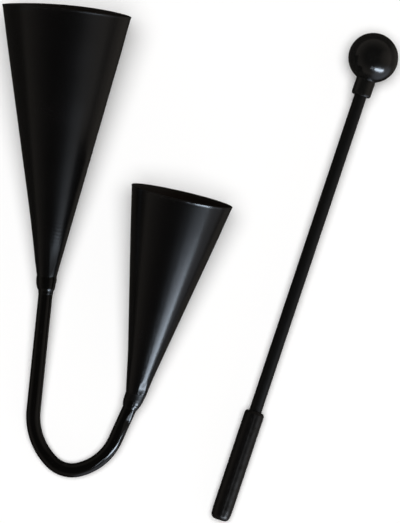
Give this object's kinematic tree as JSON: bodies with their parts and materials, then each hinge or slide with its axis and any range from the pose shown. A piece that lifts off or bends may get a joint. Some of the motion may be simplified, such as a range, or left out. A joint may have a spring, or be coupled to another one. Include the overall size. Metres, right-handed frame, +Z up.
{
  "type": "agogo bell",
  "caption": "Double agogo bell: conical sheet-steel bells welded to a bent bar bow, painted black, lying beside its ball-headed beater with a rubber grip.",
  "frame": {"origin": "on the table, below the middle of the box round the whole set as it lies", "axes": "+Z up from the table, +Y from the bow towards the mouth of the large bell, +X from the agogo towards the beater"},
  "size_m": [0.2776, 0.366, 0.0911],
  "materials": {
    "bell_enamel": "semi-gloss black enamel sprayed on rolled steel sheet",
    "bar_enamel": "glossier black enamel on round steel bar and on the root welds",
    "head_plastic": "moulded black plastic with a soft gloss and a fine parting line",
    "shaft_plastic": "satin black extruded plastic",
    "grip_rubber": "smooth moulded black rubber with a dull sheen"
  },
  "bodies": {
    "agogo": {"bow": "bar_enamel", "large_bell": "bell_enamel", "large_bell_seam": "bell_enamel", "large_bell_weld": "bar_enamel", "small_bell": "bell_enamel", "small_bell_seam": "bell_enamel", "small_bell_weld": "bar_enamel"},
    "beater": {"beater_head": "head_plastic", "beater_shaft": "shaft_plastic", "beater_grip": "grip_rubber"}
  },
  "joints": [
    {"name": "beater_lift", "type": "slide", "parent": "agogo", "child": "beater", "axis": [0, 0, 1], "range_m": [0, 0.15]}
  ]
}
